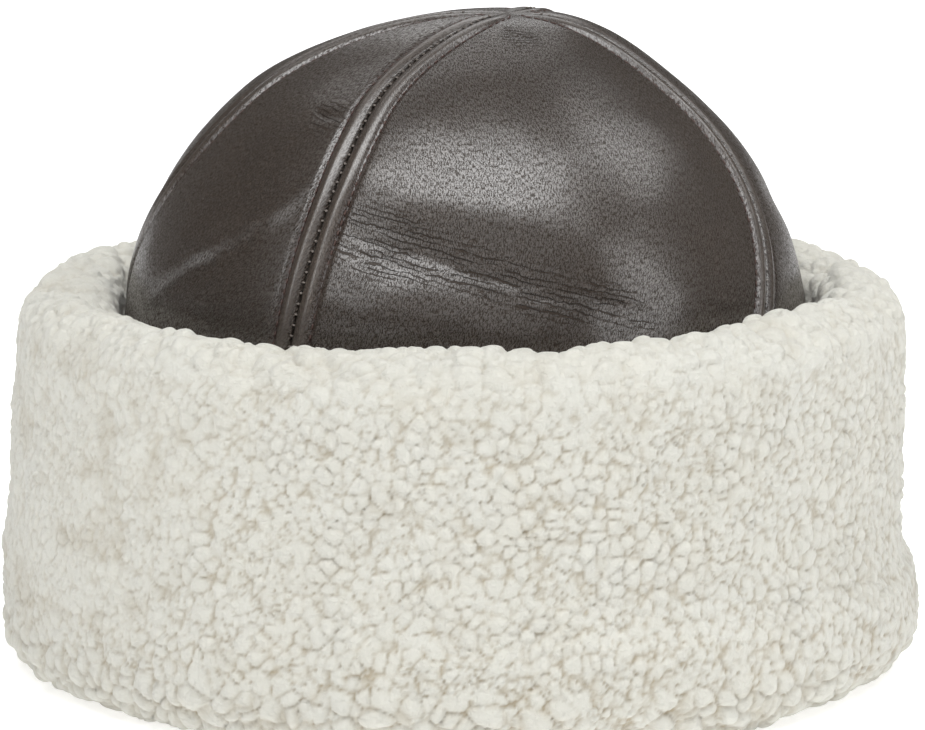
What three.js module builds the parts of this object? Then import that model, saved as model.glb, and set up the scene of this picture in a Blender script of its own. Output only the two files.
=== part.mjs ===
// A shearling hat: a round crown of four leather gores with wool inside, and a tall turned-up fleece cuff.
// Units are millimetres, +Z is up, the front faces -Y, and the hat stands on its cuff at the origin.
// Azimuths run from the front towards +X. A polar angle runs down the dome from its top.
import * as THREE from "three";
import { ParametricGeometry } from "three/addons/geometries/ParametricGeometry.js";

const { degToRad, lerp, smoothstep, clamp } = THREE.MathUtils;

// The crown is a dome over a straight wall that runs down inside the cuff.
const CROWN_RADIUS = 100;
const CROWN_CENTRE_X = 1;
const DOME_CENTRE_Z = 90;
const APEX_LEAN_X = 12;
const APEX_LEAN_Y = -5;
const APEX_LEAN_REACH = 40;
const APEX_DIP = 1;
const APEX_DIP_REACH = 12;
const LEATHER = 2;
const PANEL_HEM_Z = 14;
const SEAM_GAP = 0.3;

// The wool inside the crown is the other face of the same skins.
const PILE_INSIDE = 8.6;
const PILE_CLEARANCE = 1.5;
const PILE_HEM_Z = 23;
const PILE_LUMP = 0.9;

// The cuff is turned up round the crown's hem. Its fold and its rim are round, and it rests on a flat ring.
const FOLD_RADIUS = 16;
const FOLD_CENTRE_R = 118;
const FOLD_FROM_ANGLE = -58;
const FOLD_TO_ANGLE = -20;
const FOLD_STEPS = 2;
const RIM_RADIUS = 14;
const RIM_CENTRE_R = 115.5;
const RIM_CENTRE_Z = 97.5;
const RIM_STEPS = 7;
const RIM_DIP = 2;
const RIM_DIP_AZIMUTH = -25;
const REST_INNER_R = 106;
const REST_OUTER_R = 122;
const SLOT_OUTER_R = 102;
const SLOT_INNER_R = 96.6;
const SLOT_WALL_ZS = [80, 46];
const SLOT_FLOOR_Z = 12.5;
const MOUTH_TOP_Z = PILE_HEM_Z - 1;
const CUFF_LOCK = 1.1;

// The mouth that the head goes into, which widens towards its edge.
const MOUTH_WALL = [
  { z: MOUTH_TOP_Z, r: 88 },
  { z: 12, r: 88.8 },
  { z: 4, r: 94 },
];

// How far out the cuff stands between its fold and its rim, on the left and on the right.
const CUFF_WALL = [
  { z: 16, left: 134.0, right: 134.2 },
  { z: 27, left: 134.4, right: 133.0 },
  { z: 34, left: 134.2, right: 129.6 },
  { z: 43, left: 133.2, right: 128.2 },
  { z: 52, left: 132.6, right: 128.0 },
  { z: 61, left: 132.2, right: 128.1 },
  { z: 70, left: 131.6, right: 128.4 },
  { z: 79, left: 130.9, right: 128.7 },
  { z: 88, left: 130.0, right: 129.1 },
];

// Each seam's azimuth at the apex and at the hem, and how far it bows to one side on the way, in degrees.
const SEAMS = {
  front_left: { apex: -21, hem: -31, bow: -0.5 },
  right: { apex: 58, hem: 52, bow: 17 },
  back_right: { apex: 146, hem: 154, bow: 0 },
  back_left: { apex: 268, hem: 256, bow: 23 },
};

const PANELS = [
  { name: "crown_panel_front", from: "front_left", to: "right", turn: 0 },
  { name: "crown_panel_right", from: "right", to: "back_right", turn: 0 },
  { name: "crown_panel_back", from: "back_right", to: "back_left", turn: 0 },
  { name: "crown_panel_left", from: "back_left", to: "front_left", turn: 360 },
];

// The surface beside a seam: the closed groove, the band over the turned-back edge, and its row of stitches.
const SEAM_BAND = [
  { distance: 0, height: -1.0 },
  { distance: 0.9, height: 0.1 },
  { distance: 2.6, height: 0.8 },
  { distance: 4.4, height: 0.5 },
  { distance: 5.8, height: -0.5 },
  { distance: 8.2, height: 0 },
];
const BAND_FADE = 16;

// Creases in the leather: where the middle is, how it slants, its half length and half width, and its depth.
const CREASES = [
  { azimuth: 0, polar: 67, slant: 0.22, length: 27, width: 7, depth: 1.5 },
  { azimuth: -58, polar: 69, slant: -0.62, length: 13, width: 7, depth: 1 },
];

const PANEL_POLARS = [0, 5, 11, 18, 26, 34, 42, 50, 57, 63, 68, 74, 81, 90];
const PANEL_WALL_ZS = [62, 38, PANEL_HEM_Z];
const PANEL_INNER_COLUMNS = 7;
const PILE_POLARS = [0, 10, 22, 34, 46, 58, 70, 80, 90];
const PILE_WALL_ZS = [66, 44, PILE_HEM_Z];
const PILE_COLUMNS = 40;
const CUFF_COLUMNS = 80;

const LEATHER_FINISH = { color: 0x41372f, roughness: 0.45, metalness: 0 };
const FLEECE_FINISH = { color: 0xe6e3d8, roughness: 1, metalness: 0 };

// A repeatable number from -1 to 1 for each lock of wool.
function scatter(column, row) {
  const turns = Math.sin(column * 127.1 + row * 311.7) * 43758.5453;
  return 2 * (turns - Math.floor(turns)) - 1;
}

// The height of one lock: alternate ones stand out, by differing amounts.
function lockHeight(column, row, height) {
  const standsOut = (column + row) % 2 === 0 ? 0.5 : -0.5;
  return height * (standsOut + 0.5 * scatter(column, row));
}

function seamAzimuth(seam, polar) {
  const down = clamp(polar / 90, 0, 1);
  return lerp(seam.apex, seam.hem, down) + seam.bow * Math.sin(Math.PI * down);
}

// How deep the creases press the dome in at one place.
function creaseDepth(azimuth, polar) {
  let depth = 0;
  for (const crease of CREASES) {
    const along = (((azimuth - crease.azimuth + 540) % 360) - 180) / crease.length;
    const line = crease.polar + crease.slant * along * crease.length;
    const across = (polar - line) / crease.width;
    depth += crease.depth * Math.exp(-2 * across * across) * Math.max(0, 1 - along * along);
  }
  return depth;
}

// A place on the crown, raised above the dome's outside by a height that may be negative.
function crownPoint(azimuth, polar, wallZ, raised, target) {
  const angle = degToRad(azimuth);
  const down = degToRad(polar);
  const lean = 1 - smoothstep(polar, 0, APEX_LEAN_REACH);
  const dip = APEX_DIP * (1 - smoothstep(polar, 0, APEX_DIP_REACH));
  const radius = CROWN_RADIUS + raised - dip - creaseDepth(azimuth, polar);
  const out = radius * Math.sin(down);
  const x = CROWN_CENTRE_X + APEX_LEAN_X * lean + out * Math.sin(angle);
  const y = APEX_LEAN_Y * lean - out * Math.cos(angle);
  const z = wallZ === null ? DOME_CENTRE_Z + radius * Math.cos(down) : wallZ;
  return target.set(x, y, z);
}

// Rows down the crown, as polar angles on the dome and then as heights on the straight wall.
function crownRows(polars, wallZs) {
  return [
    ...polars.map((polar) => ({ polar, wallZ: null })),
    ...wallZs.map((wallZ) => ({ polar: 90, wallZ })),
  ];
}

// A closed surface from a grid of places, whose rows run down its outside.
function gridGeometry(columns, rows, placeAt) {
  const place = (u, v, target) => {
    placeAt(Math.round((1 - u) * columns), Math.round(v * rows), target);
  };
  const geometry = new ParametricGeometry(place, columns, rows);
  geometry.computeVertexNormals();
  return geometry;
}

function namedMesh(name, geometry, finish) {
  const mesh = new THREE.Mesh(geometry, new THREE.MeshStandardMaterial(finish));
  mesh.name = name;
  return mesh;
}

// Distances from the first seam to the second over a gore of one width, with the seam bands at both edges.
function panelColumns(width) {
  const bandPlaces = SEAM_BAND.length;
  const count = 2 * bandPlaces + PANEL_INNER_COLUMNS;
  const fade = smoothstep(width, 0, BAND_FADE);
  const near = SEAM_BAND.map((place, index) => ({
    at: Math.min(place.distance + SEAM_GAP / 2, width * ((index + 0.5) / count)),
    raised: place.height * fade,
  }));
  const far = near.map((place) => ({ at: width - place.at, raised: place.raised })).reverse();
  const start = near[bandPlaces - 1].at;
  const middle = [];
  for (let step = 1; step <= PANEL_INNER_COLUMNS; step++) {
    const share = step / (PANEL_INNER_COLUMNS + 1);
    middle.push({ at: lerp(start, width - start, share), raised: 0 });
  }
  return [...near, ...middle, ...far];
}

// One gore: its outside, then its inside, round a closed strip in each row. The last row closes the hem.
function panelGeometry(panel) {
  const rows = crownRows(PANEL_POLARS, PANEL_WALL_ZS);
  const from = SEAMS[panel.from];
  const to = SEAMS[panel.to];
  const outside = 2 * SEAM_BAND.length + PANEL_INNER_COLUMNS;
  const around = 2 * outside;
  const placeAt = (step, rowIndex, target) => {
    const row = rows[Math.min(rowIndex, rows.length - 1)];
    const closing = rowIndex === rows.length;
    const index = step % around;
    const onOutside = index < outside;
    const first = seamAzimuth(from, row.polar);
    const last = seamAzimuth(to, row.polar) + (to === SEAMS.front_left ? panel.turn : 0);
    const rowRadius = Math.max(CROWN_RADIUS * Math.sin(degToRad(row.polar)), 1e-3);
    const width = rowRadius * degToRad(last - first);
    const column = panelColumns(width)[onOutside ? index : around - 1 - index];
    const azimuth = lerp(first, last, column.at / width);
    const height = onOutside ? column.raised : -LEATHER;
    const raised = closing ? -LEATHER / 2 : height;
    crownPoint(azimuth, row.polar, row.wallZ, raised, target);
    if (row.polar === 0) apexCorner(first, last, target);
  };
  return gridGeometry(around, rows.length, placeAt);
}

// At the apex a gore ends in an upright edge, half a seam's gap from both of its seams.
function apexCorner(first, last, target) {
  const half = degToRad(last - first) / 2;
  const away = SEAM_GAP / 2 / Math.sin(half);
  const angle = degToRad(first) + half;
  target.x += away * Math.sin(angle);
  target.y -= away * Math.cos(angle);
}

// The wool inside the crown: one wall from the apex down to the cuff's own wool.
function pileGeometry() {
  const rows = crownRows(PILE_POLARS, PILE_WALL_ZS);
  const outer = -LEATHER - PILE_CLEARANCE;
  const last = 2 * rows.length - 1;
  const placeAt = (step, rowIndex, target) => {
    const onOutside = rowIndex < rows.length;
    const row = rows[onOutside ? rowIndex : last - rowIndex];
    const column = step % PILE_COLUMNS;
    const loose = row.polar === 0 || row.wallZ === PILE_HEM_Z ? 0 : PILE_LUMP;
    const inner = outer - PILE_INSIDE + lockHeight(column, rowIndex, loose);
    const azimuth = (360 * column) / PILE_COLUMNS;
    crownPoint(azimuth, row.polar, row.wallZ, onOutside ? outer : inner, target);
  };
  return gridGeometry(PILE_COLUMNS, last, placeAt);
}

// Places on an arc of the cuff's section, from one angle to another above the level.
function arcPlaces(centreR, centreZ, radius, fromAngle, toAngle, steps) {
  const places = [];
  for (let step = 0; step <= steps; step++) {
    const angle = degToRad(lerp(fromAngle, toAngle, step / steps));
    const outR = Math.cos(angle);
    const outZ = Math.sin(angle);
    places.push({ r: centreR + radius * outR, z: centreZ + radius * outZ, outR, outZ, locks: 1 });
  }
  return places;
}

// The cuff's section at one azimuth, once round: rest, fold, outer wall, rim, slot for the crown, and mouth.
function cuffSection(azimuth) {
  const rightShare = (1 + Math.sin(degToRad(azimuth))) / 2;
  const towardsDip = Math.max(0, Math.cos(degToRad(azimuth - RIM_DIP_AZIMUTH)));
  const rimZ = RIM_CENTRE_Z - RIM_DIP * towardsDip * towardsDip;
  const crownShift = CROWN_CENTRE_X * Math.sin(degToRad(azimuth));
  const plain = (r, z) => ({ r: r + crownShift, z, outR: 0, outZ: 0, locks: 0 });
  const wall = CUFF_WALL.map((row) => ({
    r: lerp(row.left, row.right, rightShare),
    z: row.z,
    outR: 1,
    outZ: 0,
    locks: 1,
  }));
  const rimOuter = wall[wall.length - 1].r - RIM_RADIUS;
  const rim = arcPlaces(0, rimZ, RIM_RADIUS, 0, 180, RIM_STEPS).map((place, index) => ({
    ...place,
    r: lerp(rimOuter, RIM_CENTRE_R + crownShift, index / RIM_STEPS) + place.r,
    locks: index === RIM_STEPS ? 0 : 1,
  }));
  return [
    { r: REST_OUTER_R, z: 0, outR: 0, outZ: 0, locks: 0 },
    ...arcPlaces(FOLD_CENTRE_R, FOLD_RADIUS, FOLD_RADIUS, FOLD_FROM_ANGLE, FOLD_TO_ANGLE, FOLD_STEPS),
    ...wall,
    ...rim,
    ...SLOT_WALL_ZS.map((z) => plain(SLOT_OUTER_R, z)),
    plain(SLOT_OUTER_R, SLOT_FLOOR_Z),
    plain(SLOT_INNER_R, SLOT_FLOOR_Z),
    plain(SLOT_INNER_R, MOUTH_TOP_Z),
    ...MOUTH_WALL.map((row) => plain(row.r, row.z)),
    { r: REST_INNER_R, z: 0, outR: 0, outZ: 0, locks: 0 },
  ];
}

function cuffGeometry() {
  const places = cuffSection(0).length;
  const placeAt = (step, rowIndex, target) => {
    const column = step % CUFF_COLUMNS;
    const azimuth = (360 * column) / CUFF_COLUMNS;
    const place = cuffSection(azimuth)[(places - rowIndex) % places];
    const height = lockHeight(column, rowIndex, CUFF_LOCK) * place.locks;
    const r = place.r + height * place.outR;
    const angle = degToRad(azimuth);
    target.set(r * Math.sin(angle), -r * Math.cos(angle), place.z + height * place.outZ);
  };
  return gridGeometry(CUFF_COLUMNS, places, placeAt);
}

const hat = new THREE.Group();
hat.name = "shearling_hat";
for (const panel of PANELS) {
  hat.add(namedMesh(panel.name, panelGeometry(panel), LEATHER_FINISH));
}
hat.add(namedMesh("crown_pile", pileGeometry(), FLEECE_FINISH));
hat.add(namedMesh("cuff", cuffGeometry(), FLEECE_FINISH));

export default hat;
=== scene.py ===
import itertools
import math

import bmesh
import bpy
import numpy as np
from mathutils import Matrix, Vector


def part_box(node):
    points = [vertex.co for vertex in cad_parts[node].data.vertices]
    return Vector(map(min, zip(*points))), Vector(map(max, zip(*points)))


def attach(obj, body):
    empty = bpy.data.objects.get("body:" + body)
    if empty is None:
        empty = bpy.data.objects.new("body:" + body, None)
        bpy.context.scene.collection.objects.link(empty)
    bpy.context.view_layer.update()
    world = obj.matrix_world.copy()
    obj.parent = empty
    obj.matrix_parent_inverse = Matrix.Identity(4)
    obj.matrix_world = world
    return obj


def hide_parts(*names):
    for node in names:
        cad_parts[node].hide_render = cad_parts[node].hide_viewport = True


bl_info = {
    "name": "Shearling hat",
    "version": (1, 0, 0),
    "blender": (4, 5, 0),
    "location": "View3D > Sidebar > Hat",
    "description": "Dresses the hat's frame in sewn leather gores and curled fleece",
    "category": "Object",
}

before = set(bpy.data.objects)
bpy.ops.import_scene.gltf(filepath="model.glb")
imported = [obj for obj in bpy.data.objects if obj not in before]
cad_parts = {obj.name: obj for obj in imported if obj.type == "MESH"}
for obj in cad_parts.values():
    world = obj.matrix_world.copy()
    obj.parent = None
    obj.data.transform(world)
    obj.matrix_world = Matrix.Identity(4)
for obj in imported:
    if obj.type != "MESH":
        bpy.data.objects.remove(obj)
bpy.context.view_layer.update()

# The frame's own sizes, in metres.
MM = 0.001
BODY = "root"
CUFF_LOW, CUFF_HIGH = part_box("cuff")
PILE_LOW, PILE_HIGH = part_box("crown_pile")
PANEL_HEM_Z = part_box("crown_panel_front")[0][2]

# The crown is a dome over a straight wall. Its top leans a little, and dips where the gores meet.
CROWN_X = 1 * MM
DOME_Z = 90 * MM
APEX_LEAN = (12 * MM, -5 * MM)
APEX_LEAN_REACH = math.radians(40)
APEX_DIP_REACH = math.radians(12)
QUARTER = math.pi / 2
FULL_TURN = 2 * math.pi

# Each seam's azimuth at the apex and at the hem, and its bow on the way, in degrees from the front.
SEAMS = {
    "front_left": {"apex": -21, "hem": -30.6, "bow": 0.3},
    "right": {"apex": 58, "hem": 52, "bow": 17},
    "back_right": {"apex": 146, "hem": 154, "bow": 0},
    "back_left": {"apex": 268, "hem": 256, "bow": 23},
    "front_left_again": {"apex": 339, "hem": 329.4, "bow": 0.3},
}

GORES = [
    {"node": "crown_panel_front", "start": "front_left", "end": "right"},
    {"node": "crown_panel_right", "start": "right", "end": "back_right"},
    {"node": "crown_panel_back", "start": "back_right", "end": "back_left"},
    {"node": "crown_panel_left", "start": "back_left", "end": "front_left_again"},
]

# Rows of faces down a gore, by how far from the apex each stretch ends.
GORE_ROWS = [
    {"ends": 74 * MM, "rows": 52},
    {"ends": 152 * MM, "rows": 92},
    {"ends": 233 * MM, "rows": 8},
]
GORE_COLUMNS = 120
BAND_COLUMNS = 22
BAND_REACH = 9 * MM
BAND_PLACE = 2.9 * MM
ROW_PLACE = 5.7 * MM
SEAM_GAP = 0.15 * MM
TIP_FLATNESS = 0.3
TIP_REACH = (math.radians(3), math.radians(20))

# The leather beside a seam: its closed groove, its rounded band and the row that stitches pull down.
SEAM_SECTION = [
    {"place": 0, "width": 0.45 * MM, "height": -1.0 * MM},
    {"place": BAND_PLACE, "width": 2.0 * MM, "height": 0.95 * MM},
    {"place": ROW_PLACE, "width": 0.85 * MM, "height": -0.8 * MM},
]

# The leather's slow waviness: how wide and how high its waves are.
SKIN_WAVES = [
    {"width": 34 * MM, "height": 0.28 * MM, "seed": 61},
    {"width": 9 * MM, "height": 0.12 * MM, "seed": 62},
]

# Where each kind of stitch runs down a seam, from the apex, and how far it lies over the leather.
STITCHED_SEAMS = ("front_left", "right", "back_right", "back_left")
ROW_START = 9 * MM
SEAM_START = 12 * MM
STITCH_END = 168 * MM
ROW_LIFT = 0.2 * MM
SEAM_LIFT = 0.75 * MM
STITCH_SHARE = 0.72
SEAM_STITCH_LENGTH = 1.2 * MM
SEAM_STITCH_THICKNESS = 0.8 * MM

# Folds in the leather: the middle in degrees, the slant, the half length in degrees, and the fold's size.
FOLDS = [
    {"azimuth": 0, "polar": 66.0, "slant": 0.25, "length": 38, "width": 8.0, "height": -1.3},
    {"azimuth": -6, "polar": 56, "slant": 0.22, "length": 26, "width": 7.5, "height": 0.5},
    {"azimuth": -14, "polar": 74, "slant": 0.20, "length": 17, "width": 8.5, "height": 1.5},
    {"azimuth": 8, "polar": 77, "slant": 0.24, "length": 24, "width": 6.0, "height": 0.6},
    {"azimuth": -10, "polar": 64.6, "slant": 0.30, "length": 16, "width": 0.95, "height": -0.15},
    {"azimuth": -12, "polar": 61.8, "slant": 0.27, "length": 13, "width": 0.95, "height": -0.15},
    {"azimuth": 0, "polar": 67.4, "slant": 0.21, "length": 21, "width": 0.95, "height": -0.15},
    {"azimuth": 7, "polar": 68.5, "slant": 0.29, "length": 14, "width": 0.95, "height": -0.15},
    {"azimuth": 13, "polar": 71.6, "slant": 0.27, "length": 16, "width": 0.95, "height": -0.15},
    {"azimuth": -15, "polar": 66.0, "slant": 0.34, "length": 12, "width": 0.95, "height": -0.15},
    {"azimuth": 24, "polar": 73.4, "slant": 0.45, "length": 9, "width": 0.8, "height": -0.35},
    {"azimuth": -50, "polar": 66, "slant": -0.58, "length": 19, "width": 4.0, "height": 0.9},
    {"azimuth": -54, "polar": 71, "slant": -0.50, "length": 15, "width": 3.0, "height": -0.8},
    {"azimuth": -46, "polar": 59, "slant": -0.40, "length": 13, "width": 3.5, "height": -0.5},
    {"azimuth": -36, "polar": 40.5, "slant": 0.05, "length": 6, "width": 0.9, "height": -0.5},
    {"azimuth": 15, "polar": 17, "slant": 0.25, "length": 13, "width": 0.9, "height": -0.4},
    {"azimuth": 100, "polar": 66, "slant": 0.20, "length": 24, "width": 6.0, "height": -1.0},
    {"azimuth": 104, "polar": 68, "slant": 0.24, "length": 15, "width": 0.9, "height": -0.5},
    {"azimuth": 190, "polar": 64, "slant": -0.18, "length": 26, "width": 6.0, "height": -1.0},
    {"azimuth": 186, "polar": 66, "slant": -0.22, "length": 15, "width": 0.9, "height": -0.5},
]

# The cuff's outer wall from the fold to the rim, on the left and on the right, in millimetres.
CUFF_WALL = [
    {"z": 16, "left": 134.0, "right": 134.2},
    {"z": 27, "left": 134.4, "right": 133.0},
    {"z": 34, "left": 134.2, "right": 129.6},
    {"z": 43, "left": 133.2, "right": 128.2},
    {"z": 52, "left": 132.6, "right": 128.0},
    {"z": 61, "left": 132.2, "right": 128.1},
    {"z": 70, "left": 131.6, "right": 128.4},
    {"z": 79, "left": 130.9, "right": 128.7},
    {"z": 88, "left": 130.0, "right": 129.1},
]
FOLD_RADIUS = 16
FOLD_CENTRE_R = 118
FOLD_ANGLES = (-90, -67, -45, -22)
RIM_RADIUS = 14
RIM_CENTRE_R = 115.5
RIM_CENTRE_Z = 97.5
RIM_ANGLES = (0, 26, 52, 78, 104, 130, 156, 180)
RIM_DIP = 2
RIM_DIP_AZIMUTH = math.radians(-25)
SLOT_WALL = [
    {"z": 84, "r": 102.0},
    {"z": 46, "r": 102.6},
    {"z": 15, "r": 102.4},
    {"z": 13, "r": 100.0},
    {"z": 15, "r": 97.2},
    {"z": 20, "r": 96.4},
]
MOUTH_WALL = [
    {"z": 22, "r": 93.0},
    {"z": 20, "r": 89.0},
    {"z": 12, "r": 88.6},
    {"z": 5, "r": 92.5},
    {"z": 1, "r": 99.0},
]
REST_RING = [
    {"z": 0, "r": 106},
    {"z": 0, "r": 112},
]

# The wool inside the crown is seen little, so its faces are larger than the cuff's by this factor.
PILE_COARSENESS = 2.2
PILE_THICKNESS = 7 * MM

# The curls' grid is turned, so that no row of curls lies level or upright.
CURL_TURN = np.array(Matrix.Rotation(0.9, 3, Vector((1, 2, 3))))

# The cuff is made in four lengths, from one azimuth to the next, in degrees.
CUFF_LENGTHS = [
    {"name": "front", "start": -60, "end": 60},
    {"name": "right", "start": 60, "end": 120},
    {"name": "back", "start": 120, "end": 240},
    {"name": "left", "start": 240, "end": 300},
]

# Colours of small places: painted shade along the stitched rows' grooves and in the seam's groove, the tint
# of the leather's sheen, and warm wool.
ROW_GROOVE_SHADE = (0.024, 0.012, 0.009)
SEAM_GROOVE_SHADE = (0.012, 0.009, 0.007)
LEATHER_GLOW = (1.0, 0.82, 0.68)
WARM_TIPS = (0.63, 0.605, 0.52)

# The studio: its soft lights in metres and watts, its floor and its camera.
LIGHT_AIM = (0, 0, 0.1)
STUDIO_LIGHTS = [
    {"name": "overhead", "place": (0.0, -0.85, 2.15), "size": (2.6, 1.2), "power": 50},
    {"name": "back_top", "place": (-0.2, 1.2, 2.1), "size": (2.0, 1.0), "power": 7},
    {"name": "right_top", "place": (1.4, 0.3, 1.8), "size": (0.9, 0.9), "power": 9},
    {"name": "front_fill", "place": (0.0, -2.1, 1.2), "size": (2.4, 0.9), "power": 5},
    {"name": "back_fill", "place": (0.0, 2.1, 1.3), "size": (0.9, 0.9), "power": 4},
    {"name": "left_fill", "place": (-1.4, -1.1, 1.15), "size": (0.9, 0.9), "power": 6},
    {"name": "right_fill", "place": (2.0, -1.0, 1.0), "size": (1.0, 1.0), "power": 9},
]
ROOM_LIGHT = 0.08
FLOOR_GLOW_NEAR = 0.5
FLOOR_GLOW_FAR = 1.0
FLOOR_GLOW_REACH = (0.8, 2.2)
CAMERA_DISTANCE = 1.5
CAMERA_TILT = math.radians(10.5)
CAMERA_AIM = (0, 0, 0.085)
SHOWN_WIDTH = 0.2705


class HatSizes(bpy.types.PropertyGroup):
    crown_radius: bpy.props.FloatProperty(
        name="Crown radius", description="Outside radius of the leather dome", default=100 * MM,
        unit="LENGTH", subtype="DISTANCE",
    )
    leather: bpy.props.FloatProperty(
        name="Leather", description="Thickness of the leather", default=2 * MM,
        unit="LENGTH", subtype="DISTANCE",
    )
    apex_dip: bpy.props.FloatProperty(
        name="Apex dip", description="How far the gores' tips are pulled in", default=1 * MM,
        unit="LENGTH", subtype="DISTANCE",
    )
    stitch_length: bpy.props.FloatProperty(
        name="Stitch length", description="From one top stitch to the next", default=3 * MM,
        unit="LENGTH", subtype="DISTANCE",
    )
    stitch_row: bpy.props.FloatProperty(
        name="Stitch row", description="From the seam to its row of top stitches", default=ROW_PLACE,
        unit="LENGTH", subtype="DISTANCE",
    )
    thread: bpy.props.FloatProperty(
        name="Thread", description="Thickness of the thread", default=0.5 * MM,
        unit="LENGTH", subtype="DISTANCE",
    )


class FleeceSizes(bpy.types.PropertyGroup):
    curl: bpy.props.FloatProperty(
        name="Curl", description="Width of one curl of wool", default=4.3 * MM,
        unit="LENGTH", subtype="DISTANCE",
    )
    curl_height: bpy.props.FloatProperty(
        name="Curl height", description="How far a curl stands out", default=2.4 * MM,
        unit="LENGTH", subtype="DISTANCE",
    )
    lock: bpy.props.FloatProperty(
        name="Lock", description="Width of one cluster of curls", default=17 * MM,
        unit="LENGTH", subtype="DISTANCE",
    )
    lock_height: bpy.props.FloatProperty(
        name="Lock height", description="How unevenly the clusters stand out", default=1.5 * MM,
        unit="LENGTH", subtype="DISTANCE",
    )
    step: bpy.props.FloatProperty(
        name="Step", description="Spacing of the fleece's faces", default=0.775 * MM,
        unit="LENGTH", subtype="DISTANCE",
    )


class HatColours(bpy.types.PropertyGroup):
    # The darkest leather colour is also the painted shade in creases, hairlines and grain valleys.
    leather_dark: bpy.props.FloatVectorProperty(
        name="Leather, dark", description="Colour of the leather where it is darkest", size=3,
        default=(0.012, 0.0070, 0.0042), subtype="COLOR", min=0, max=1,
    )
    leather_light: bpy.props.FloatVectorProperty(
        name="Leather, light", description="Colour of the leather where it is lightest", size=3,
        default=(0.058, 0.039, 0.027), subtype="COLOR", min=0, max=1,
    )
    thread: bpy.props.FloatVectorProperty(
        name="Thread", description="Colour of the top stitches", size=3,
        default=(0.095, 0.052, 0.042), subtype="COLOR", min=0, max=1,
    )
    seam_thread: bpy.props.FloatVectorProperty(
        name="Seam thread", description="Colour of the stitches that close a seam", size=3,
        default=(0.19, 0.165, 0.145), subtype="COLOR", min=0, max=1,
    )
    fleece: bpy.props.FloatVectorProperty(
        name="Fleece", description="Colour of the wool's tips", size=3,
        default=(0.65, 0.645, 0.588), subtype="COLOR", min=0, max=1,
    )
    # The wool's warm root colour, darkened to serve as painted shade between the curls.
    fleece_root_and_shade: bpy.props.FloatVectorProperty(
        name="Fleece, root", description="Colour deep between the curls", size=3,
        default=(0.39, 0.336, 0.244), subtype="COLOR", min=0, max=1,
    )
    floor: bpy.props.FloatVectorProperty(
        name="Floor", description="Colour of the studio floor", size=3,
        default=(0.90, 0.90, 0.90), subtype="COLOR", min=0, max=1,
    )


# Numbers and fields

def ease(value, low, high):
    share = np.clip((value - low) / (high - low), 0, 1)
    return share * share * (3 - 2 * share)


def bell(distance, width):
    return np.exp(-((distance / width) ** 2))


def scramble(number):
    number = (number ^ (number >> np.uint32(16))) * np.uint32(0x7FEB352D)
    number = (number ^ (number >> np.uint32(15))) * np.uint32(0x846CA68B)
    return number ^ (number >> np.uint32(16))


def cell_number(cells, seed):
    """One repeatable whole number for each cell of a grid."""
    whole = cells.astype(np.int64).astype(np.uint32)
    number = scramble(whole[:, 0] + np.uint32(seed))
    number = scramble(number ^ whole[:, 1])
    return scramble(number ^ whole[:, 2])


def fraction(number):
    return number.astype(np.float64) / 4294967296.0


def drift(places, size, seed):
    """A smooth field from -1 to 1 that changes over about one size."""
    scaled = places / size
    corner = np.floor(scaled)
    part = scaled - corner
    part = part * part * (3 - 2 * part)
    total = np.zeros(len(places))
    for step in itertools.product((0, 1), repeat=3):
        share = np.prod(np.where(np.array(step) == 1, part, 1 - part), axis=1)
        total += share * fraction(cell_number(corner + np.array(step), seed))
    return 2 * total - 1


def nearest_curls(places, size, seed, unevenness):
    """For each place: how near its curl's middle is, how far inside the curl it is, and the curl's number."""
    places = places @ CURL_TURN
    corner = np.floor(places / size)
    nearest = np.full(len(places), 9.0)
    second = np.full(len(places), 9.0)
    own = np.zeros(len(places))
    for step in itertools.product((-1, 0, 1), repeat=3):
        cells = corner + np.array(step)
        number = cell_number(cells, seed)
        shift = []
        for _axis in range(3):
            number = scramble(number + np.uint32(0x9E3779B9))
            shift.append(fraction(number))
        number = scramble(number + np.uint32(0x9E3779B9))
        girth = 1 + unevenness * (fraction(number) - 0.5)
        middle = (cells + 0.5 + 0.84 * (np.stack(shift, axis=1) - 0.5)) * size
        distance = np.linalg.norm(places - middle, axis=1) / (size * girth)
        closer = distance < nearest
        second = np.where(closer, nearest, np.minimum(second, distance))
        own = np.where(closer, fraction(scramble(number)), own)
        nearest = np.minimum(nearest, distance)
    return nearest, second - nearest, own


def curl_relief(places, size, seed):
    """Round curls: the height, from 0 in a gap to 1 on top of a curl, and how near a gap each place is."""
    nearest, inside, own = nearest_curls(places, size, seed, 0.34)
    ball = np.sqrt(np.clip(1 - nearest ** 2, 0, 1))
    pinch = 1 - 0.38 * np.exp(-inside / 0.15)
    return ball * pinch * (0.84 + 0.32 * own), np.exp(-inside / 0.12)


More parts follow.
